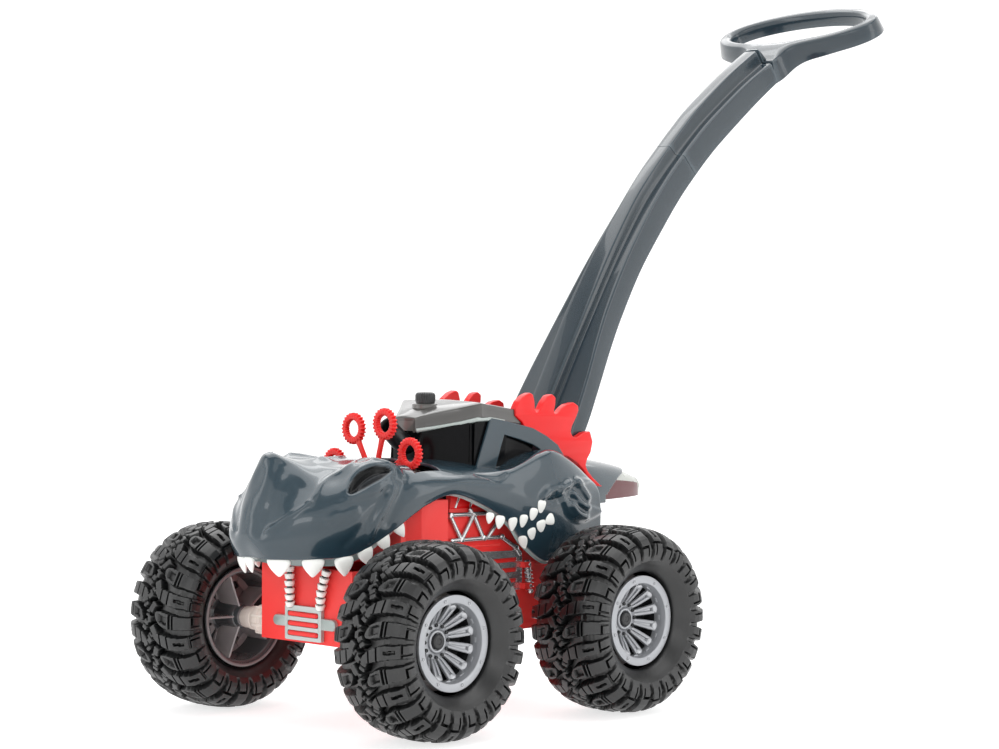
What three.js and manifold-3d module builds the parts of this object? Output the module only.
// Battery bubble machine shaped as a dinosaur monster truck with a push handle.
// Millimetres, +Z up. The truck's front faces -Y, its left side is +X. z = 0 is the ground.
import * as THREE from 'three';
import { mergeVertices } from 'three/addons/utils/BufferGeometryUtils.js';
import Module from 'manifold-3d';

// ---------------------------------------------------------------- driving dimensions
const MIDPOINT_Y = 156.285;   // the midpoint between the axles lies this far in front of the origin
const WHEEL_R = 65;
const TRACK_X = 105.1;        // tyre centre from the middle plane
const AXLE_Y = 91.6;          // axles in front of and behind the midpoint
const AXLE_Z = WHEEL_R;
const AXLE_R = 2.5;
const AXLES = [['front', -AXLE_Y], ['rear', AXLE_Y]];

const TUB_HALF_WIDTH = 45.5;
const TUB_FRONT = -105.6;
const TUB_BACK = 112;
const TUB_WALL = 2.2;
const TUB_FLOOR = 55;         // underside
const FLOOR_TOP = TUB_FLOOR + 2.5;
const TRIM_GAP = 0.3;         // between the tub and the trim on it

const SHELL_SKIN = 2;
// body screws and their posts, [x, y]
const BODY_SCREWS = { front: [0, -100.2], rear_left: [38, 104], rear_right: [-38, 104] };
const BUTTON_R = 6.9;
const BUTTON_Y = 5;
const BUTTON_TOP = 221.8;
const BUTTON_AXIS = [0, BUTTON_Y];

const WANDS = 8;
const WAND_Y = -44;
const WAND_ORBIT = 40;        // wand centres from the wheel's axis
const WAND_OUTER_R = 10.2;
const WAND_INNER_R = 5.7;
const WAND_PHASE = 75.5;      // degrees from +X towards +Z to the first wand

// Gear axes are [x, z].
const GEAR_MODULE = 4 / 3;
const GEAR_BIG = 18;
const GEAR_SMALL = 6;
const GEAR_SPACING = GEAR_MODULE * (GEAR_BIG + GEAR_SMALL) / 2;
const WAND_Z = 161;
const MOTOR_Z = WAND_Z - GEAR_SPACING;
const WAND_AXIS = [0, WAND_Z];
const MOTOR_AXIS = [0, MOTOR_Z];
const IDLER_AXIS = [-GEAR_SPACING * Math.cos(Math.PI / 6), WAND_Z - GEAR_SPACING / 2];

const CELL_R = 7.1;           // AA cell
const CELL_LENGTH = 50;
const CELL_PITCH = 15.4;
const DOOR_SCREW = [0, 21];

// ---------------------------------------------------------------- materials
const GREY = 0x54646f;
const RED = 0xe8262c;
const BLACK = 0x17181a;
const SILVER = 0xb9bcbf;
const STEEL = 0xb0b2b5;
const DARK = 0x2f3134;
const standard = options => new THREE.MeshStandardMaterial(options);
const bodyGrey = standard({ color: GREY, roughness: 0.25 });
const frameRed = standard({ color: RED, roughness: 0.35 });
const glossRed = standard({ color: RED, roughness: 0.3 });
const doorRed = standard({ color: RED, roughness: 0.4 });
const tailRed = standard({ color: 0x6b1f26, roughness: 0.4 });
const trimSilver = standard({ color: SILVER, roughness: 0.35, metalness: 0.4 });
const rimSilver = standard({ color: SILVER, roughness: 0.35, metalness: 0.35 });
const shaftSteel = standard({ color: STEEL, roughness: 0.3, metalness: 1 });
const motorSteel = standard({ color: STEEL, roughness: 0.35, metalness: 1 });
const screwSteel = standard({ color: STEEL, roughness: 0.4, metalness: 1 });
const ivory = standard({ color: 0xe9e4d8, roughness: 0.5 });
const tyreRubber = standard({ color: 0x2b2c2d, roughness: 0.75 });
const coreBlack = standard({ color: 0x2a2c2e, roughness: 0.5 });
const capBlack = standard({ color: BLACK, roughness: 0.4 });
const glazingBlack = standard({ color: BLACK, roughness: 0.2 });
const buttonBlack = standard({ color: BLACK, roughness: 0.35 });
const nozzleBlack = standard({ color: BLACK, roughness: 0.3 });
const roofGrey = standard({ color: 0x5f5c58, roughness: 0.6 });
const switchBlack = standard({ color: 0x303236, roughness: 0.5 });
const gearWhite = standard({ color: 0xe8e8e4, roughness: 0.5 });
const housingDark = standard({ color: DARK, roughness: 0.5 });
const batteryBoxDark = standard({ color: DARK, roughness: 0.6 });
const ductBlack = standard({ color: 0x202225, roughness: 0.5 });
const cellGold = standard({ color: 0xc7a24a, roughness: 0.35, metalness: 0.6 });

// ---------------------------------------------------------------- solids
const manifold = await Module();
manifold.setup();

function solid(source) {
  const geometry = source.clone();
  geometry.deleteAttribute('normal');
  geometry.deleteAttribute('uv');
  const merged = mergeVertices(geometry, 1e-4);
  return new manifold.Manifold(new manifold.Mesh({
    numProp: 3,
    vertProperties: new Float32Array(merged.attributes.position.array),
    triVerts: new Uint32Array(merged.index.array),
  }));
}

function indexedGeometry(positions, index) {
  const geometry = new THREE.BufferGeometry();
  geometry.setAttribute('position', new THREE.BufferAttribute(positions, 3));
  geometry.setIndex(index);
  return geometry;
}

// a solid from points and triangles; collapsed triangles go, and all are turned to face outwards
function solidOfFaces(points, triangles) {
  const same = (p, q) => p.every((value, i) => value === q[i]);
  const faces = triangles.filter(([a, b, c]) =>
    !same(points[a], points[b]) && !same(points[b], points[c]) && !same(points[a], points[c]));
  let volume = 0;
  for (const face of faces) {
    const [A, B, C] = face.map(i => new THREE.Vector3(...points[i]));
    volume += A.dot(B.cross(C));
  }
  const index = faces.flatMap(([a, b, c]) => volume < 0 ? [a, c, b] : [a, b, c]);
  return solid(indexedGeometry(new Float32Array(points.flat()), index));
}

function toGeometry(piece) {
  const { numProp, numVert, vertProperties, triVerts } = piece.getMesh();
  const positions = new Float32Array(numVert * 3);
  for (let i = 0; i < numVert; i++) {
    positions.set(vertProperties.subarray(i * numProp, i * numProp + 3), i * 3);
  }
  const geometry = indexedGeometry(positions, Array.from(triVerts));
  geometry.computeVertexNormals();
  return geometry;
}

const join = (...pieces) => pieces.reduce((a, b) => a.add(b));
const mirrorX = piece => piece.mirror([1, 0, 0]);

function box(x0, x1, y0, y1, z0, z1) {
  const geometry = new THREE.BoxGeometry(x1 - x0, y1 - y0, z1 - z0);
  geometry.translate((x0 + x1) / 2, (y0 + y1) / 2, (z0 + z1) / 2);
  return solid(geometry);
}

// a polygon drawn in one plane and given thickness along the third axis
function slab(plane, outline, from, to, holes = []) {
  const [points, ...holePoints] = [outline, ...holes].map(
    loop => loop.map(([u, v]) => new THREE.Vector2(u, v)));
  if (THREE.ShapeUtils.area(points) < 0) points.reverse();
  const shape = new THREE.Shape(points);
  shape.holes = holePoints.map(loop => new THREE.Path(loop));
  const geometry = new THREE.ExtrudeGeometry(shape, { depth: to - from, bevelEnabled: false });
  const turn = new THREE.Matrix4();
  if (plane === 'yz') turn.set(0, 0, 1, from, 1, 0, 0, 0, 0, 1, 0, 0, 0, 0, 0, 1);
  else if (plane === 'xz') turn.set(1, 0, 0, 0, 0, 0, -1, to, 0, 1, 0, 0, 0, 0, 0, 1);
  else turn.makeTranslation(0, 0, from);
  return solid(geometry.applyMatrix4(turn));
}

// a rod along an axis between two stations; the centre is on the other two axes
function rod(axis, radius, from, to, [u, v], sides) {
  const geometry = new THREE.CylinderGeometry(radius, radius, to - from, sides, 1);
  const middle = (from + to) / 2;
  if (axis === 'x') geometry.rotateZ(-Math.PI / 2).translate(middle, u, v);
  else if (axis === 'y') geometry.translate(u, middle, v);
  else geometry.rotateX(Math.PI / 2).translate(u, v, middle);
  return solid(geometry);
}

const polar = (radius, angle, [u, v] = [0, 0]) =>
  [u + radius * Math.cos(angle), v + radius * Math.sin(angle)];
const circle = (radius, sides, centre) =>
  Array.from({ length: sides }, (_, i) => polar(radius, 2 * Math.PI * i / sides, centre));
const spin = (points, angle) => {
  const c = Math.cos(angle), s = Math.sin(angle);
  return points.map(([u, v]) => [u * c - v * s, u * s + v * c]);
};
// a half outline followed by its mirror image across x = 0
const bothSides = half => [...half, ...half.map(([x, v]) => [-x, v]).reverse()];
// level slots between two stations, at the given heights
const slots = (heights, from, to, half) => heights.map(
  z => [[from, z - half], [to, z - half], [to, z + half], [from, z + half]]);
const signedPower = (value, exponent) => Math.sign(value) * Math.abs(value) ** exponent;

// triangles between rings of equal point count; closed joins the last ring to the first
function ringFaces(rings, closed) {
  const n = rings[0].length, faces = [];
  for (let k = 0; k < rings.length - (closed ? 0 : 1); k++) {
    const next = (k + 1) % rings.length;
    for (let i = 0; i < n; i++) {
      const j = (i + 1) % n;
      faces.push([k * n + i, k * n + j, next * n + j], [k * n + i, next * n + j, next * n + i]);
    }
  }
  return faces;
}

// a profile [radius, station] turned round the X axis; dent(k, i) takes from the radius
function turned(profile, sides, dent = () => 0) {
  const rings = profile.map(([radius, x], k) => Array.from({ length: sides }, (_, i) =>
    [x, ...polar(radius - dent(k, i), 2 * Math.PI * i / sides)]));
  return solidOfFaces(rings.flat(), ringFaces(rings, profile[0][0] !== 0));
}

// rings joined side by side with both ends closed; every ring is flat and spans X
function loft(rings) {
  const { area, triangulateShape } = THREE.ShapeUtils;
  const [plan, front] = [1, 2].map(axis => rings[0].map(p => new THREE.Vector2(p[0], p[axis])));
  const flat = Math.abs(area(front)) > Math.abs(area(plan)) ? front : plan;
  if (area(flat) < 0) flat.forEach(p => p.setX(-p.x));
  const faces = ringFaces(rings, false);
  const last = (rings.length - 1) * flat.length;
  for (const [a, b, c] of triangulateShape(flat, [])) {
    faces.push([a, c, b], [last + a, last + b, last + c]);
  }
  return solidOfFaces(rings.flat(), faces);
}

// a ribbed hose of level rings from one point to another
function ribbedHose(start, end, radii, sides) {
  return loft(radii.map((radius, k) => {
    const [x, y, z] = start.map((value, i) => value + (end[i] - value) * k / (radii.length - 1));
    return circle(radius, sides, [x, y]).map(([u, v]) => [u, v, z]);
  }));
}

const truck = new THREE.Group();
truck.position.set(0, -MIDPOINT_Y, 0);
const root = new THREE.Group();
root.add(truck);

function put(name, piece, material, position = [0, 0, 0]) {
  const mesh = new THREE.Mesh(toGeometry(piece), material);
  mesh.name = name;
  mesh.position.set(...position);
  truck.add(mesh);
}

// ---------------------------------------------------------------- chassis tub
function chassisTub() {
  // side outline [y, z]
  const side = [
    [TUB_FRONT, TUB_FLOOR], [TUB_BACK, TUB_FLOOR], [TUB_BACK, 118], [70, 118], [60, 132],
    [40, 143], [-16, 143], [-20, 106], [-64, 106], [-68, 112], [-90, 106], [TUB_FRONT, 106]];
  const innerX = TUB_HALF_WIDTH - TUB_WALL;
  let tub = slab('yz', side, -TUB_HALF_WIDTH, TUB_HALF_WIDTH).subtract(
    box(-innerX, innerX, TUB_FRONT + TUB_WALL, TUB_BACK - TUB_WALL, FLOOR_TOP, 200));
  // two upright ribs that carry the foot of the handle
  const rib = [[84, 57], [TUB_BACK, 57], [TUB_BACK, 139], [84, 147]];
  for (const x of [-22, 20]) tub = tub.add(slab('yz', rib, x, x + 2));
  // cross wall
  tub = tub.add(box(-30, 30, 62, 64, 57, 110));
  // battery opening in the floor, axle holes and screw holes
  tub = tub.subtract(box(-32, 32, -34, 26, 50, 59));
  for (const [, y] of AXLES) tub = tub.subtract(rod('x', 5.8, -50, 50, [y, AXLE_Z], 12));
  for (const centre of Object.values(BODY_SCREWS)) {
    tub = tub.subtract(join(
      rod('z', 1.9, 50, 60, centre, 8), rod('z', 3.6, 50, TUB_FLOOR + 1.5, centre, 12)));
  }
  return tub;
}
put('chassis_tub', chassisTub(), frameRed);

// ---------------------------------------------------------------- trim on the chassis
// slotted frame below the nose, a stub each side of it, and two ribbed hoses above
function frontGrille() {
  const back = TUB_FRONT - TRIM_GAP, front = back - 2.6;
  let grille = slab('xz', [[-21, 56.4], [17.4, 57], [17.4, 80], [-21, 79.8]], front, back,
    slots([61.3, 67.8, 74.3], -17.5, 14, 1.4));
  grille = join(grille,
    box(-33.8, -20, front, back, 65, 72.4), box(16, 30.8, front, back, 65.3, 73));
  const radii = Array.from({ length: 15 }, (_, k) => k % 3 < 2 ? 3.3 : 2.5);
  for (const [topX, footX] of [[-18.4, -15.6], [19.4, 15.2]]) {
    grille = grille.add(ribbedHose(
      [topX, TUB_FRONT - 4.2, 105.6], [footX, TUB_FRONT - 3, 79], radii, 7));
  }
  // cut the hoses off just clear of the tub's front wall
  return grille.subtract(box(-40, 40, back, TUB_FRONT + 10, 50, 120));
}
put('front_grille', frontGrille(), trimSilver);

// truss bars [start, end, width] on the left side, points [y, z]
const TRUSS_BARS = [
  [[-16.5, 139.2], [20, 138.6], 2.6], [[-15.6, 121.5], [34, 121.4], 2.6],
  [[33.4, 121.6], [48.2, 113.2], 2.6], [[-16.4, 138], [-6, 121.8], 2.4],
  [[-5.6, 121.8], [6, 138.4], 2.4], [[6, 138.4], [15.6, 121.8], 2.4],
  [[19.5, 121.8], [29.2, 131.5], 2.2], [[5.4, 138.4], [2.2, 142.2], 2.2],
  [[48, 113.4], [52.4, 108], 2.6],
];
function sideTruss() {
  const inner = TUB_HALF_WIDTH + TRIM_GAP, outer = TUB_HALF_WIDTH + 2.7;
  const bars = TRUSS_BARS.map(([[y0, z0], [y1, z1], width]) => {
    const dy = y1 - y0, dz = z1 - z0, scale = width / 2 / Math.hypot(dy, dz);
    const ny = -dz * scale, nz = dy * scale;
    const outline = [[y0 + ny, z0 + nz], [y0 - ny, z0 - nz], [y1 - ny, z1 - nz], [y1 + ny, z1 + nz]];
    return slab('yz', outline, inner, outer);
  });
  const grille = slab('yz', [[2, 112.6], [54.4, 111], [54.4, 83.6], [2, 83.6]], inner, outer,
    slots([104.8, 97.7, 90.3], 8, 50, 1.6));
  // the shock absorber behind the grille, and its two brackets
  const shockX = TUB_HALF_WIDTH + 3.9, bracketX = TUB_HALF_WIDTH + 2.6;
  const radii = Array.from({ length: 9 }, (_, k) => k % 2 ? 3.6 : 2.7);
  return join(...bars, grille, ribbedHose([shockX, 57, 104], [shockX, 61, 80], radii, 6),
    box(inner, bracketX, 52, 64, 84, 88), box(inner, bracketX, 52, 62, 99, 103));
}
put('side_truss_left', sideTruss(), trimSilver);
put('side_truss_right', mirrorX(sideTruss()), trimSilver);

// ---------------------------------------------------------------- axles and wheels
// one ridged housing that passes through both walls of the tub
function axleHousing() {
  const collarX = TUB_HALF_WIDTH + 0.4, endX = 78.2;
  // left half of the outside, [radius, x]
  const half = [[5.4, collarX], [11, collarX], [11, 52], [9.2, 52.6], [10.6, 56], [10.6, 61],
    [8.2, 62], [8.2, 66], [7.2, endX]];
  const mirrored = half.map(([radius, x]) => [radius, -x]).reverse();
  return turned([...mirrored, ...half, [3.3, endX], [3.3, -endX]], 10);
}
for (const [end, y] of AXLES) {
  const axle = rod('x', AXLE_R, -TRACK_X - 3, TRACK_X + 3, [y, AXLE_Z], 14);
  put(end + '_axle', axle, shaftSteel);
  put(end + '_axle_housing', axleHousing(), ivory, [0, y, AXLE_Z]);
}

// Left wheel parts stand round the X axis, outboard towards +X. Profiles are [radius, x].
// tyre: a carcass open towards the rim, with shoulder lugs that alternate from side to side
function tyre() {
  const lugs = 18, lugDepth = 2.6;
  const profile = [
    [33.9, 20.2], [45, 29.5], [56, 32.2], [63, 25], [WHEEL_R, 7], [WHEEL_R, -7], [63, -25],
    [56, -32.2], [36, -25.4], [36, -21], [56, -27], [56, 27], [33.9, 16.6]];
  return turned(profile, 2 * lugs, (k, i) => {
    const shoulder = i % 2 ? [2, 3] : [6, 7];
    return shoulder.includes(k) ? lugDepth : 0;
  });
}
// rim: flange ring, deep dish and a face with long windows between the spokes
function rim() {
  const flangeR = 31.4, windows = 12;
  let piece = turned([[5.3, 4.6], [23, 4.6], [25.6, 21.6], [flangeR, 21.6], [flangeR, 19.6],
    [27.4, 19], [25.4, 1.4], [5.3, 1.4]], 24);
  const windowOutline = [[14, -1.2], [21.6, -2.6], [21.6, 2.6], [14, 1.2]];
  for (let i = 0; i < windows; i++) {
    piece = piece.subtract(slab('yz', spin(windowOutline, 2 * Math.PI * i / windows), -5, 10));
  }
  return piece;
}
// wheel core inboard of the rim: barrel, webs and a hub on the axle rod
function wheelCore() {
  const bore = AXLE_R + 0.4, webs = 5;
  let core = turned([[31.4, -25.2], [33.2, -25.2], [33.2, 1], [bore, 1], [bore, -26.3],
    [7.4, -26.3], [8.6, -1], [31.4, -1]], 20);
  const web = [[6, -1.6], [32, -1.6], [32, 1.6], [6, 1.6]];
  for (let i = 0; i < webs; i++) {
    core = core.add(slab('yz', spin(web, 2 * Math.PI * i / webs + 0.3), -20, -0.9));
  }
  return core;
}
const hubCap = () => turned([[0, 5], [5, 5], [5, 7.6], [4, 8.6], [0, 8.6]], 12);
const WHEEL_PARTS = [
  ['tyre', tyre(), tyreRubber], ['rim', rim(), rimSilver],
  ['wheel_core', wheelCore(), coreBlack], ['hub_cap', hubCap(), capBlack]];
for (const [end, y] of AXLES) for (const [side, sign] of [['left', 1], ['right', -1]]) {
  for (const [name, piece, material] of WHEEL_PARTS) {
    const handed = sign > 0 ? piece : mirrorX(piece);
    put(`${name}_${end}_${side}`, handed, material, [sign * TRACK_X, y, AXLE_Z]);
  }
}

// ---------------------------------------------------------------- body shell
// Half sections of points [x, y, z] from the lip to the middle plane,
// listed from the snout back to the haunches.
const SECTIONS = [
  [[0, -148, 111.6], [0, -155, 118], [0, -159.6, 130.7], [0, -156, 146],
    [0, -151, 160], [0, -146, 172], [0, -142, 180], [0, -138, 184.4]],
  [[16, -146.2, 110.6], [17, -153, 117.5], [18, -157, 130], [17.5, -154, 146],
    [15, -149, 160], [11, -144.5, 172], [6, -140, 180], [0, -136, 184.3]],
  [[34, -131.6, 110.2], [36.5, -136, 117], [38, -139, 130], [37, -137, 144],
    [31, -134, 157], [23, -131, 168], [12, -128, 176.5], [0, -125, 180.5]],
  [[44, -111.6, 110.4], [47, -112, 118], [49, -113, 131], [48, -113, 146],
    [42, -112, 160], [31, -110, 167], [14, -109, 174.5], [0, -108, 177.8]],
  [[47.5, -95.2, 116.1], [50.5, -95, 123], [52.5, -94, 134], [52.5, -93, 150],
    [50.5, -92, 165], [43, -91, 177.5], [20, -90.5, 174.8], [0, -90, 177.5]],
  [[50, -82.2, 124.1], [53.5, -82, 130], [55.5, -81, 139], [55.5, -80, 152],
    [52.5, -79, 165], [44, -78, 178.5], [20, -77.5, 176.2], [0, -77, 177.5]],
  [[52.5, -71.8, 131.6], [56.5, -71, 137], [58, -70, 145], [58, -69, 154],
    [54, -68, 165], [44, -66, 175.6], [20, -65.5, 177], [0, -65, 177.5]],
  [[54.6, -61.9, 139.2], [58, -61, 143], [59.6, -60, 150], [59.6, -58, 158],
    [55, -57, 166], [44, -55, 174], [20, -54.5, 176.8], [0, -54, 177.3]],
  [[55.6, -48.8, 146.8], [59, -48, 149.5], [60.5, -47, 154], [60.3, -45, 160],
    [55.6, -43, 167], [44, -42, 174.2], [20, -41.5, 176.5], [0, -41, 177]],
  [[56.1, -25.8, 152.4], [59.5, -25, 154.8], [61, -24, 158.2], [60.6, -23, 162.5],
    [55.6, -21, 167.5], [44, -20.5, 173], [20, -20, 175.8], [0, -20, 176.5]],
  [[56.6, 2.8, 143.5], [60, 4, 147], [61.5, 5, 153], [61.2, 6, 160],
    [56, 7, 166.5], [45, 7, 171], [20, 7, 175.4], [0, 7, 176.2]],
  [[57.6, 26.6, 130.7], [61, 27, 137], [62.5, 28, 146], [62.6, 28, 158],
    [59, 29, 171.5], [45, 29, 172.8], [20, 29, 175.6], [0, 29, 176.4]],
  [[59, 40.3, 116.1], [61.5, 41, 125], [63.4, 41, 138], [64, 41, 154],
    [60, 41, 174.5], [46, 41, 176.5], [20, 41, 176], [0, 41, 176.5]],
  [[60, 60.6, 102.3], [62, 61, 113], [64, 61, 130], [65, 61, 152],
    [60.5, 61, 177.6], [47, 61, 180], [20, 61, 176], [0, 61, 176]],
  [[60, 76.1, 102.8], [62, 76, 114], [64, 76, 131], [65, 76, 153],
    [60, 76, 178], [47, 76, 180.5], [20, 76, 175.5], [0, 76, 175.5]],
  [[60, 95.9, 111.5], [61.5, 96, 121], [63, 97, 135], [63.5, 98, 152],
    [58, 98, 173], [46, 98, 175], [20, 98, 172], [0, 98, 172]],
  [[60, 122.5, 120], [60.5, 122.5, 127], [60.5, 122.5, 138], [59, 122, 150],
    [54, 121, 160.5], [43, 120, 162.5], [20, 120, 162], [0, 120, 162]],
];

// the skin between the sections and the same surface moved inwards, open below
function shellSkin() {
  const rows = SECTIONS.map(row => row.map(p => new THREE.Vector3(...p)));
  const lastRow = rows.length - 1, columns = rows[0].length, lastColumn = columns - 1;
  const mirrored = p => new THREE.Vector3(-p.x, p.y, p.z);
  const outwardNormal = (i, j) => {
    const before = i === 0 ? mirrored(rows[1][j]) : rows[i - 1][j];
    const after = rows[Math.min(i + 1, lastRow)][j];
    const below = rows[i][Math.max(j - 1, 0)];
    const above = j === lastColumn ? mirrored(rows[i][j - 1]) : rows[i][j + 1];
    const normal = after.clone().sub(before).cross(above.clone().sub(below));
    if (i === 0 || j === lastColumn) normal.x = 0;
    return normal.normalize();
  };
  const insideRows = rows.map((row, i) => row.map(
    (p, j) => p.clone().addScaledVector(outwardNormal(i, j), -SHELL_SKIN)));
  const points = [], faces = [];
  for (const side of [1, -1]) {
    const start = points.length;
    for (const p of [...rows, ...insideRows].flat()) points.push([side * p.x, p.y, p.z]);
    const outer = (i, j) => start + i * columns + j;
    const inner = (i, j) => outer(i + rows.length, j);
    const quad = (a, b, c, d) => {
      if (side > 0) faces.push([a, b, c], [a, c, d]);
      else faces.push([a, d, c], [a, c, b]);
    };
    for (let i = 0; i < lastRow; i++) for (let j = 0; j < lastColumn; j++) {
      quad(outer(i, j), outer(i + 1, j), outer(i + 1, j + 1), outer(i, j + 1));
      quad(inner(i, j), inner(i, j + 1), inner(i + 1, j + 1), inner(i + 1, j));
    }
    // close the lip and the rear edge
    for (let i = 0; i < lastRow; i++) {
      quad(outer(i, 0), inner(i, 0), inner(i + 1, 0), outer(i + 1, 0));
    }
    for (let j = 0; j < lastColumn; j++) {
      quad(outer(lastRow, j), inner(lastRow, j), inner(lastRow, j + 1), outer(lastRow, j + 1));
    }
  }
  return solidOfFaces(points, faces);
}

// left side of the cab frame, with a front opening and a quarter window; points [y, z]
function cabSide() {
  const outline = [[8, 167.5], [22, 203.4], [24, 203.8], [72, 196.2], [98, 183.6],
    [108, 171.5], [96, 168], [76, 168]];
  const quarterWindow = [[40.5, 171.5], [43.6, 191.8], [80.3, 180.6], [62, 173.4]];
  const frontOpening = [[6, 172.6], [13.4, 173.4], [26.6, 200.8], [20, 200.8]];
  return slab('yz', outline, 38.6, 41.2, [quarterWindow]).subtract(
    slab('yz', frontOpening, 37, 43));
}

// teeth along the left upper jaw, [x, y, z]
const TEETH = [[13, -148.6, 111], [35.2, -133, 110.8], [45.4, -112.6, 111],
  [48.8, -96, 116.6], [51.4, -82.8, 124.6], [54, -72.2, 132]];

function bodyShell() {
  let shell = shellSkin();
  // the skin's own height over a point, for the screw posts
  const skin = new THREE.Mesh(
    toGeometry(shell), new THREE.MeshBasicMaterial({ side: THREE.DoubleSide }));
  const skinTop = (x, y) => {
    const ray = new THREE.Raycaster(new THREE.Vector3(x, y, 400), new THREE.Vector3(0, 0, -1));
    return ray.intersectObject(skin)[0].point.z;
  };
  // back wall between the haunches
  const backWall = bothSides([[58.6, 126], [57.5, 150], [52.5, 160], [42, 161.4]]);
  shell = shell.add(slab('xz', backWall, 118.6, 120.6));
  // slot that the wand wheel turns in, opening under the cab, and mouth for the handle
  shell = shell.subtract(box(-51.6, 51.6, -55, -31, 156, 200));
  shell = shell.subtract(box(-30, 30, -4, 66, 165, 190));
  shell = shell.subtract(box(-34.8, 34.8, 84, 118.2, 148, 190));
  shell = join(shell, cabSide(), mirrorX(cabSide()));
  for (const [x, y, z] of TEETH) for (const side of [1, -1]) {
    const tooth = new THREE.OctahedronGeometry(1).scale(4.2, 4.2, 7.4);
    shell = shell.add(solid(tooth.translate(x * side, y, z - 1)));
  }
  for (const centre of Object.values(BODY_SCREWS)) {
    const post = rod('z', 2.9, FLOOR_TOP + 0.5, skinTop(...centre) - 1, centre, 8);
    shell = shell.add(post.subtract(rod('z', 1.5, 50, 74, centre, 6)));
  }
  return shell;
}
put('body_shell', bodyShell(), bodyGrey);

for (const [name, centre] of Object.entries(BODY_SCREWS)) {
  const head = rod('z', 3.2, TUB_FLOOR + 0.1, TUB_FLOOR + 1.2, centre, 10);
  const shank = rod('z', 1.1, TUB_FLOOR + 0.4, 72, centre, 6);
  put('body_screw_' + name, join(head, shank), screwSteel);
}

// ---------------------------------------------------------------- glazing, roof and button
function cabGlazing() {
  // left half of the plan [x, y]: the outer face, then the inner face back again
  const plan = [[15, -13.6], [37.6, 13.5], [37.6, 76], [35.8, 76], [35.8, 14], [14.2, -11.8]];
  // side outline [y, z]: the top follows the roof's underside, the foot stands over the deck
  const side = [[-14, 177.6], [-14, 192.6], [21, 203], [76, 194.6], [76, 185], [64, 181.5]];
  return slab('xy', bothSides(plan), 177.6, 203.6)
    .intersect(slab('yz', side, -40, 40))
    .subtract(box(-9.6, 9.6, -20, -8, 177, 196))
    .add(box(-37.6, 37.6, 74.2, 76, 186, 193));
}
put('cab_glazing', cabGlazing(), glazingBlack);

const ROOF_Y = { front: -14.5, brow: -2, peak: 21, back: 72.5 };
// height of the roof's crown and edge, and its half width, at a station
function roofLine(y) {
  const { front, brow, peak, back } = ROOF_Y;
  if (y >= peak) {
    const t = (y - peak) / (back - peak);
    return { crown: 216.5 - 8 * t, edge: 215 - 7.4 * t, halfWidth: 40 - 2 * t };
  }
  return {
    crown: y < brow ? 204.9 + 6.6 * (y - front) / (brow - front)
      : 211.5 + 5 * (y - brow) / (peak - brow),
    edge: 204.7 + (y - front) * 0.29,
    halfWidth: 10 + 30 * (y - front) / (peak - front),
  };
}
// the roof as a block, drawn in by an inset and reaching a depth below its edge
function roofBlock(inset, depth) {
  const { front, brow, peak, back } = ROOF_Y;
  return loft([front + inset, brow, peak, back - inset].map(y => {
    const { crown, edge, halfWidth } = roofLine(y);
    const x = Math.max(halfWidth - inset * 1.2, 2);
    const top = crown * 0.8 + edge * 0.2 - inset;
    return [[x, y, edge - inset], [x * 0.45, y, top], [-x * 0.45, y, top],
      [-x, y, edge - inset], [-x, y, edge - depth], [x, y, edge - depth]];
  }));
}
function roofPanel() {
  const collar = rod('z', 9.6, 203, 209.6, BUTTON_AXIS, 20).intersect(roofBlock(0.5, 12));
  return roofBlock(0, 10.6).subtract(roofBlock(2.2, 14)).add(collar)
    .subtract(rod('z', BUTTON_R + 0.35, 190, 230, BUTTON_AXIS, 20));
}
put('roof_panel', roofPanel(), roofGrey);

const powerButton = () => join(
  rod('z', BUTTON_R, 206.6, BUTTON_TOP, BUTTON_AXIS, 24),
  rod('z', 2.2, 203.6, 208, BUTTON_AXIS, 12));
put('power_button', powerButton(), buttonBlack);

// switch body on a strip with upturned ends, with a recess under the button's stem
function powerSwitch() {
  const bottom = 197.2, y0 = BUTTON_Y - 2, y1 = BUTTON_Y + 2;
  return join(
    box(-6.5, 6.5, BUTTON_Y - 6, BUTTON_Y + 6, bottom, 202.7),
    box(-10.5, 10.5, y0, y1, bottom, 199),
    box(-11.4, -9.8, y0, y1, bottom, 203.4),
    box(9.8, 11.4, y0, y1, bottom, 203.4),
  ).subtract(rod('z', 2.6, 200.4, 210, BUTTON_AXIS, 12));
}
put('power_switch', powerSwitch(), switchBlack);

// ---------------------------------------------------------------- crests and tail
// crest outline [y, z]: the spikes from front to back, then the foot forwards again
const CREST = [
  [52, 213.2], [60, 221.3], [71.2, 221.8], [77.4, 209], [90, 220.1], [97.4, 218.6],
  [97.4, 205.6], [113.4, 214.7], [122, 208.7], [114.6, 192.2], [132, 192.4], [138.6, 183.5],
  [131, 173.5], [145.4, 151.7], [141.4, 150.4], [134.4, 157.4], [118, 170], [108.6, 175.4],
  [101, 183.6], [88, 190.6], [76.4, 194.6], [73, 197.6], [73, 208.4]];
const crest = () => slab('yz', CREST, 36, 40.4);
put('crest_left', crest(), glossRed);
put('crest_right', mirrorX(crest()), glossRed);

// tail stations [y, half width, top]
const TAIL = [[124, 34.6, 173.6], [146, 33, 172.2], [170, 29, 169], [192, 24, 165],
  [210, 18.5, 160.5], [223, 12, 156], [229.5, 6, 151]];
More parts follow.
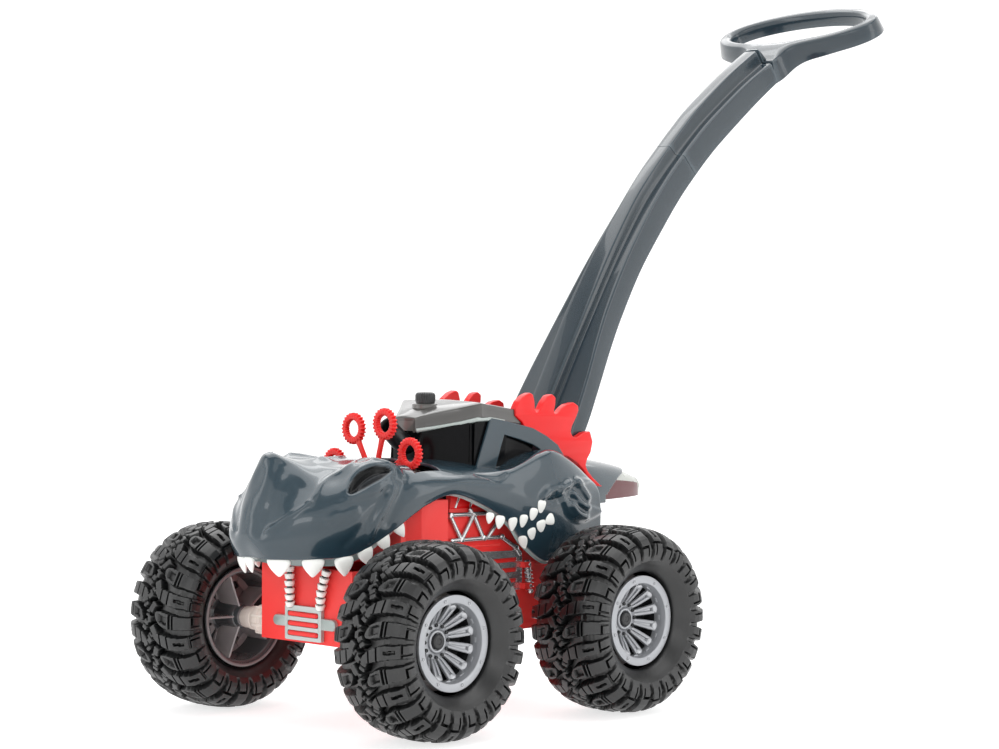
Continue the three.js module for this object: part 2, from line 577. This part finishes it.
// the tail as an arched block from a front station, drawn in by an inset
function tailBlock(inset, front, base) {
  return loft(TAIL.map(([stationY, width, height], k) => {
    const halfWidth = Math.max(width - inset, 1.5), spring = base + 6;
    let y = stationY;
    if (k === 0) y = front;
    if (k === TAIL.length - 1) y -= inset * 1.4;
    const arch = Array.from({ length: 11 }, (_, i) => {
      const t = Math.PI * i / 10;
      return [halfWidth * signedPower(Math.cos(t), 0.7), y,
        spring + (height - inset - spring) * signedPower(Math.sin(t), 0.8)];
    });
    return [...arch, [-halfWidth, y, base], [halfWidth, y, base]];
  }));
}
function tailCowl() {
  const sideCut = slab('yz',
    [[158, 137], [176, 155.5], [214, 152], [221, 146], [214, 137]], 4, 44);
  const frontCut = slab('yz', [[123, 176], [123, 160], [126, 166], [130, 176]], -40, 40);
  return tailBlock(0, 124, 138.4).subtract(tailBlock(2, 120, 130))
    .subtract(sideCut).subtract(mirrorX(sideCut)).subtract(frontCut);
}
const tailCore = () => tailBlock(5.4, 130, 140.4).subtract(tailBlock(7.8, 120, 130))
  .intersect(box(-40, 40, 128, 217, 130, 180));
put('tail_cowl', tailCowl(), bodyGrey);
put('tail_core', tailCore(), tailRed);

// ---------------------------------------------------------------- push handle
// Stations: front of the rib [y, z], half width, rib half width, rib depth, side wall depth.
const HANDLE_LOWER = [
  [86.5, 150, 33.6, 9.4, 7, 12.6], [95.4, 166, 33.6, 9.4, 7, 12.6],
  [104, 181, 33.8, 9.4, 7, 14], [119, 208.5, 33.8, 9.4, 7, 15],
  [134.8, 236.3, 31, 9.6, 7, 15.2], [149.5, 262, 27, 9.9, 7, 16.4],
  [165.2, 288.1, 23.5, 10, 7.2, 17.6], [190, 326, 20.2, 8.6, 8, 18.5],
  [219.2, 364.7, 17.8, 6.8, 8.8, 20.6], [240, 388.4, 16.4, 6.9, 9.2, 21],
  [259.5, 407.7, 15.7, 6.9, 9.5, 21],
];
const HANDLE_UPPER = [
  [259.9, 408, 15.7, 6.9, 9.5, 21], [277, 424.4, 15.5, 6.9, 10, 21],
  [296, 441.1, 15.5, 6.8, 10.8, 21], [331, 467, 15.5, 6.6, 11.3, 20],
  [355, 482.6, 16, 6.5, 11.5, 18.4], [369.5, 491.5, 18, 6.5, 11.5, 16.6],
];
const HANDLE_WALL = 2.2;
// the direction of depth, square to the line between two stations, as [y, z]
function depthDirection([y0, z0], [y1, z1]) {
  const length = Math.hypot(y1 - y0, z1 - z0);
  return [(z1 - z0) / length, -(y1 - y0) / length];
}
// a section [x, depth] set at a station [y, z]
const setSection = (section, [y, z], [depthY, depthZ]) =>
  section.map(([x, depth]) => [x, y + depthY * depth, z + depthZ * depth]);

function handleChannel(stations) {
  const t = HANDLE_WALL;
  return loft(stations.map((station, k) => {
    const [, , width, rib, ribDepth, wallDepth] = station;
    const end = ribDepth + wallDepth;
    const half = [
      [rib - 0.8, 0], [rib, 1], [rib + 1, ribDepth], [width - 2, ribDepth],
      [width, ribDepth + 2], [width, end], [width - t, end], [width - t, ribDepth + t + 1],
      [width - t - 1, ribDepth + t], [rib + 1 - t, ribDepth + t], [rib - t, t + 0.6]];
    const before = stations[Math.max(k - 1, 0)];
    const after = stations[Math.min(k + 1, stations.length - 1)];
    return setSection(bothSides(half), station, depthDirection(before, after));
  }));
}
put('handle_lower', handleChannel(HANDLE_LOWER), bodyGrey);

// tongue that clips into the lower half
function handleTongue() {
  const [start, next] = HANDLE_UPPER;
  const depth = depthDirection(start, next);
  // stations [distance along, half width, depth of the near face]
  const stations = [[-16, 12.4, 12.1], [-0.4, 12.4, 12.1], [0.6, 14.4, 10.9], [18, 14.4, 10.9]];
  return loft(stations.map(([along, x, near]) => {
    const at = [start[0] - depth[1] * along, start[1] + depth[0] * along];
    return setSection(bothSides([[x, near], [x, 15]]), at, depth);
  }));
}

// oval grip
const GRIP_HALF_LENGTH = 76;
const GRIP_HALF_WIDTH = 40;
const GRIP_BAND = 10;
const GRIP_Y = 427.5;
const GRIP_Z = 513.5;
const GRIP_TILT = THREE.MathUtils.degToRad(27.5);
// an oval [x, v] drawn in or out from the grip's edge
const gripOval = change => Array.from({ length: 24 }, (_, i) => {
  const t = 2 * Math.PI * i / 24;
  return [(GRIP_HALF_LENGTH + change) * Math.cos(t), (GRIP_HALF_WIDTH + change) * Math.sin(t)];
});
// v runs along the tilted plane of the oval, height stands square to it
const onGrip = (x, v, height) => {
  const c = Math.cos(GRIP_TILT), s = Math.sin(GRIP_TILT);
  return [x, GRIP_Y + v * c - height * s, GRIP_Z + v * s + height * c];
};
function ovalGrip() {
  // band profile [step outwards from the edge, height]
  const profile = [
    [0, 0], [-3, 1.4], [-GRIP_BAND, -0.6], [-GRIP_BAND, -11], [-GRIP_BAND + 2.2, -11],
    [-GRIP_BAND + 2.4, -1.6], [-0.6, -1.6], [1.6, -12.6], [3.8, -12.6]];
  // inward steps shrink the half axes, outward steps move points away from the centre
  const rings = profile.map(([step, height]) => gripOval(Math.min(step, 0)).map(([x, v]) => {
    const scale = 1 + Math.max(step, 0) / Math.hypot(x, v);
    return onGrip(x * scale, v * scale, height);
  }));
  return solidOfFaces(rings.flat(), ringFaces(rings, true));
}

function handleUpper() {
  const depth = [0.5, -0.866];
  const hole = loft([-40, 8].map(
    height => gripOval(2 - GRIP_BAND).map(([x, v]) => onGrip(x, v, height))));
  // neck: the channel widens into the oval; stations [y, z, half width]
  const neck = loft([
    [365.2, 479.6, 14.9], [378, 487.9, 20.7], [390, 494.2, 31.5], [402, 500.4, 50],
  ].map(([y, z, x]) => setSection(bothSides([[x, 0], [x, 3.1]]), [y, z], depth)));
  // skirt under the left side of the flare; stations [y, z, outer x]
  const skirt = loft([
    [367.3, 478.7, 16.9], [380, 486.4, 21.9], [392, 492.4, 33.4], [401, 497.1, 47],
  ].map(([y, z, x], k) => setSection(
    [[x, 0.4], [x, 15.3 - k], [x - 2.1, 15.3 - k], [x - 2.1, 0.4]], [y, z], depth)));
  const trimmedSkirt = skirt.subtract(hole);
  return join(handleChannel(HANDLE_UPPER), handleTongue(), trimmedSkirt,
    mirrorX(trimmedSkirt), ovalGrip(), neck.subtract(hole));
}
put('handle_upper', handleUpper(), bodyGrey);

// ---------------------------------------------------------------- solution tank and wand wheel
function solutionTank() {
  // left halves of the front view [x, z] and of the plan [x, y]
  const outerFront = [[34, 107.2], [46, 114.5], [52.4, 122], [52.4, 150.4]];
  const outerPlan = [[46, -62], [46.6, -58], [52.4, -49], [52.4, -24], [50, -21.6]];
  const innerFront = [[33.4, 108.9], [45, 116], [50.8, 122.8], [50.8, 160]];
  const innerPlan = [[44.6, -60.4], [45.2, -57.2], [50.8, -48], [50.8, -24.6], [49.4, -23.4]];
  const block = (front, plan, y0, y1) => slab('xz', bothSides(front), y0, y1)
    .intersect(slab('xy', bothSides(plan), 100, 170));
  const bearingPost = bothSides([[6, 140], [6, 163], [4, 166.4]]);
  return block(outerFront, outerPlan, -62, -21.6)
    .subtract(block(innerFront, innerPlan, -61, -23))
    // the rim is lower in front
    .subtract(box(-60, 60, -70, -40, 148.6, 170))
    .add(slab('xz', bearingPost, -23.4, -21.6))
    .subtract(rod('y', 2.3, -30, -18, WAND_AXIS, 12));
}
put('solution_tank', solutionTank(), glossRed);

function wandWheel() {
  const spokeEnd = WAND_ORBIT - WAND_OUTER_R + 2;
  const spoke = [[6, -2.1], [spokeEnd, -1.7], [spokeEnd, 1.7], [6, 2.1]];
  let wheel = rod('y', 9, WAND_Y - 2.2, WAND_Y + 2.2, WAND_AXIS, 16);
  for (let i = 0; i < WANDS; i++) {
    const angle = THREE.MathUtils.degToRad(WAND_PHASE) + 2 * Math.PI * i / WANDS;
    const outline = spin(spoke, angle).map(([x, z]) => [x, z + WAND_Z]);
    const centre = polar(WAND_ORBIT, angle, WAND_AXIS);
    wheel = wheel.add(slab('xz', outline, WAND_Y - 1.5, WAND_Y + 1.5));
    wheel = wheel.add(slab('xz', circle(WAND_OUTER_R, 12, centre), WAND_Y - 2, WAND_Y + 2,
      [circle(WAND_INNER_R, 8, centre)]));
  }
  return wheel.subtract(rod('y', 2.25, -60, -30, WAND_AXIS, 12));
}
const wandShaft = () => join(
  rod('y', 2, WAND_Y - 3, -9.6, WAND_AXIS, 12),
  rod('y', 3.2, WAND_Y - 3.8, WAND_Y - 2.5, WAND_AXIS, 12));
put('wand_wheel', wandWheel(), frameRed);
put('wand_shaft', wandShaft(), shaftSteel);

// ---------------------------------------------------------------- gears: shaft, compound, pinion
function gear(teeth, phase, centre, from, to, bore) {
  const pitchR = GEAR_MODULE * teeth / 2;
  const tipR = pitchR + GEAR_MODULE * 0.72, rootR = pitchR - GEAR_MODULE * 1.1;
  // tooth corners [radius, fraction of a pitch]
  const corners = teeth > 12
    ? [[rootR, -0.3], [tipR, -0.1], [tipR, 0.1], [rootR, 0.3]]
    : [[rootR, -0.3], [tipR, -0.085], [tipR, 0.085], [rootR, 0.27]];
  const outline = Array.from({ length: teeth }, (_, i) => corners.map(([radius, fraction]) =>
    polar(radius, phase + 2 * Math.PI * (i + fraction) / teeth, centre))).flat();
  return slab('xz', outline, from, to, bore ? [circle(bore, 12, centre)] : []);
}
const direction = ([x0, z0], [x1, z1]) => Math.atan2(z1 - z0, x1 - x0);
const SHAFT_TO_IDLER = direction(WAND_AXIS, IDLER_AXIS);
const IDLER_TO_MOTOR = direction(IDLER_AXIS, MOTOR_AXIS);
// turns a small gear so that a gap meets the tooth of the big one
const meshing = angle => angle + Math.PI + Math.PI / GEAR_SMALL;

const wandGear = () => gear(GEAR_BIG, SHAFT_TO_IDLER, WAND_AXIS, -14.6, -10.6, 2.25);
const compoundGear = () => gear(GEAR_SMALL, meshing(SHAFT_TO_IDLER), IDLER_AXIS, -15, -8.6)
  .add(gear(GEAR_BIG, IDLER_TO_MOTOR, IDLER_AXIS, -9.4, -6))
  .subtract(rod('y', 1.7, -20, 0, IDLER_AXIS, 8));
const motorPinion = () =>
  gear(GEAR_SMALL, meshing(IDLER_TO_MOTOR), MOTOR_AXIS, -9.2, -4.4, 1.2);
put('wand_gear', wandGear(), gearWhite);
put('compound_gear', compoundGear(), gearWhite);
put('motor_pinion', motorPinion(), gearWhite);

// bridge plate with a floor, side walls and the idler's pin
function gearBridge() {
  const front = -3.4, back = -1.6;
  const plate = slab('xz', bothSides([[40, 110], [40, 160], [30, 168]]), front, back,
    [circle(10.6, 14, MOTOR_AXIS)]);
  return join(plate, box(-42.6, 42.6, front, 27, 110, 112),
    box(-42.6, -40.6, front, 27, 110, 150), box(40.6, 42.6, front, 27, 110, 150),
    box(-42, -38, front, back, 112, 150), box(38, 42, front, back, 112, 150),
    rod('y', 1.4, -16.4, -2.4, IDLER_AXIS, 8));
}
put('gear_bridge', gearBridge(), housingDark);

// ---------------------------------------------------------------- motor and fan
const driveMotor = () => join(
  rod('y', 10, -1.2, 22, MOTOR_AXIS, 14), rod('y', 3, -2.2, -1, MOTOR_AXIS, 10),
).subtract(rod('y', 1.35, -20, 40, MOTOR_AXIS, 8));
put('drive_motor', driveMotor(), motorSteel);
put('motor_shaft', rod('y', 1, -8.8, 38, MOTOR_AXIS, 8), shaftSteel);

function fanImpeller() {
  const blades = 6, bladeThickness = 1.1;
  // blade curve [radius, angle]
  const curve = [[8, 0], [14, 0.2], [20.2, 0.56]];
  let fan = join(rod('y', 4, 31, 38.6, MOTOR_AXIS, 10), rod('y', 21, 37, 38.6, MOTOR_AXIS, 18));
  for (let i = 0; i < blades; i++) {
    const turn = 2 * Math.PI * i / blades;
    const face = thickness => curve.map(
      ([radius, angle]) => polar(radius, turn + angle + thickness / radius, MOTOR_AXIS));
    fan = fan.add(slab('xz', [...face(0), ...face(bladeThickness).reverse()], 30.2, 37.6));
  }
  return fan.subtract(rod('y', 1.2, 20, 50, MOTOR_AXIS, 8));
}
put('fan_impeller', fanImpeller(), gearWhite);

// spiral housing with an outlet upwards on the left
const OUTLET_X0 = 12;
const OUTLET_X1 = 27;
const OUTLET_TOP = 172;
const FAN_WALL = 2;
const fanSpiral = offset => Array.from({ length: 15 }, (_, i) => {
  const t = i / 14;
  const angle = -0.1 + 0.02 * Math.PI + (2 * Math.PI - 0.4) * t;
  return polar(23.4 + 3.6 * (1 - t) + offset, angle, MOTOR_AXIS);
});
const fanOutside = (y0, y1) => slab('xz', fanSpiral(FAN_WALL), y0, y1)
  .add(box(OUTLET_X0 - FAN_WALL, OUTLET_X1 + FAN_WALL, y0, y1, MOTOR_Z, OUTLET_TOP));
function fanHousing() {
  const front = 27, back = 43.4, inside = front + FAN_WALL, outletFloor = MOTOR_Z + 2;
  let housing = fanOutside(front, back)
    .subtract(slab('xz', fanSpiral(0), inside, 45))
    .subtract(box(OUTLET_X0, OUTLET_X1, inside, 45, outletFloor, OUTLET_TOP - 2))
    .subtract(box(OUTLET_X0, OUTLET_X1, inside, 41.6, outletFloor, OUTLET_TOP + 3))
    .subtract(rod('y', 12, 20, 30, MOTOR_AXIS, 12));
  // two lugs towards the motor
  for (const x of [-12.6, 12.6]) {
    housing = housing.add(box(x - 1.2, x + 1.2, 22.6, 27.4, MOTOR_Z - 3, MOTOR_Z + 3));
  }
  return housing;
}
const fanLid = () => fanOutside(43.7, 45.6).subtract(rod('y', 9, 40, 50, MOTOR_AXIS, 12));
put('fan_housing', fanHousing(), housingDark);
put('fan_lid', fanLid(), housingDark);

// ---------------------------------------------------------------- air duct and nozzle
// Stations: centre [x, y, z], half width, half height, and the [y, z] direction of the height.
const DUCT = [
  [19.5, 35.2, 172.4, 9, 7.6, 1, 0], [18, 34, 179, 8.8, 7.4, 0.92, 0.4],
  [13, 27, 184.4, 8.4, 6.6, 0.45, 0.9], [5, 12, 185.6, 8, 5.8, 0, 1],
  [0, 0, 184.6, 7.6, 5.8, 0, 1], [0, -9.4, 185, 7.4, 6, 0.1, 1]];
const NOZZLE = [
  [0, -9.9, 185, 7.4, 6.2, 0.1, 1], [0, -17.6, 187.4, 7.4, 6.6, 0.45, 0.9],
  [0, -25, 193, 7.2, 7, 0.6, 0.8], [0, -33, 199, 7, 7, 0.6, 0.8]];
// a tube of rounded sections; its bore runs past each end by a [y, z] step
function airTube(stations, wall, startStep, endStep) {
  const body = (inset, start, end) => loft(stations.map((station, k) => {
    const [x, y, z, halfWidth, halfHeight, heightY, heightZ] = station;
    let step = [0, 0];
    if (k === 0) step = start;
    if (k === stations.length - 1) step = end;
    return Array.from({ length: 8 }, (_, i) => {
      const t = 2 * Math.PI * (i + 0.5) / 8;
      const u = signedPower(Math.cos(t), 0.6) * (halfWidth - inset);
      const v = signedPower(Math.sin(t), 0.6) * (halfHeight - inset);
      return [x + u, y + step[0] + v * heightY, z + step[1] + v * heightZ];
    });
  }));
  return body(0, [0, 0], [0, 0]).subtract(body(wall, startStep, endStep));
}
// up from the fan into the cab, then forwards to the nozzle behind the top wand
put('air_duct', airTube(DUCT, 1.6, [0, -0.5], [-0.5, 0]), ductBlack);
put('air_nozzle', airTube(NOZZLE, 1.5, [1, 0], [-1, 0.75]), nozzleBlack);

// ---------------------------------------------------------------- battery compartment
function batteryBox() {
  let tray = box(-33, 33, -36, 30, 59.6, 76.6).subtract(box(-31, 31, -32, 26, 58, 74.8));
  tray = join(tray, box(-39, -32, -20, -10, 59.6, 62), box(32, 39, -20, -10, 59.6, 62));
  // dividers between the cells
  for (const x of [-CELL_PITCH, 0, CELL_PITCH]) {
    tray = tray.add(box(x - 0.4, x + 0.4, -33, 27, 70, 75.4));
  }
  return tray;
}
const batteryDoor = () => box(-31.6, 31.6, -33.6, 25.6, TUB_FLOOR, TUB_FLOOR + 2)
  .add(box(-30, 30, -31.4, -29.8, 56.6, 59))
  .subtract(join(
    rod('z', 1.6, 50, 60, DOOR_SCREW, 10), rod('z', 3.2, 50, TUB_FLOOR + 1.2, DOOR_SCREW, 12)));
const batteryScrew = () => join(
  rod('z', 2.8, TUB_FLOOR + 0.1, TUB_FLOOR + 0.9, DOOR_SCREW, 12),
  rod('z', 1.2, TUB_FLOOR + 0.3, 59.2, DOOR_SCREW, 8));
// a cell along X with its terminal towards +X
function cell() {
  const end = CELL_LENGTH / 2, shoulder = end - 1, terminalR = 2.7;
  return turned([[0, -end], [CELL_R, -end], [CELL_R, shoulder], [terminalR, shoulder],
    [terminalR, end], [0, end]], 12);
}
put('battery_box', batteryBox(), batteryBoxDark);
put('battery_door', batteryDoor(), doorRed);
put('battery_screw', batteryScrew(), screwSteel);
// the cells lie along Y and point forwards and backwards in turn
for (let i = 0; i < 4; i++) {
  const piece = cell().rotate([0, 0, i % 2 ? 90 : -90]);
  put('battery_' + (i + 1), piece, cellGold, [CELL_PITCH * (i - 1.5), -2.5, 66.8]);
}

export default root;
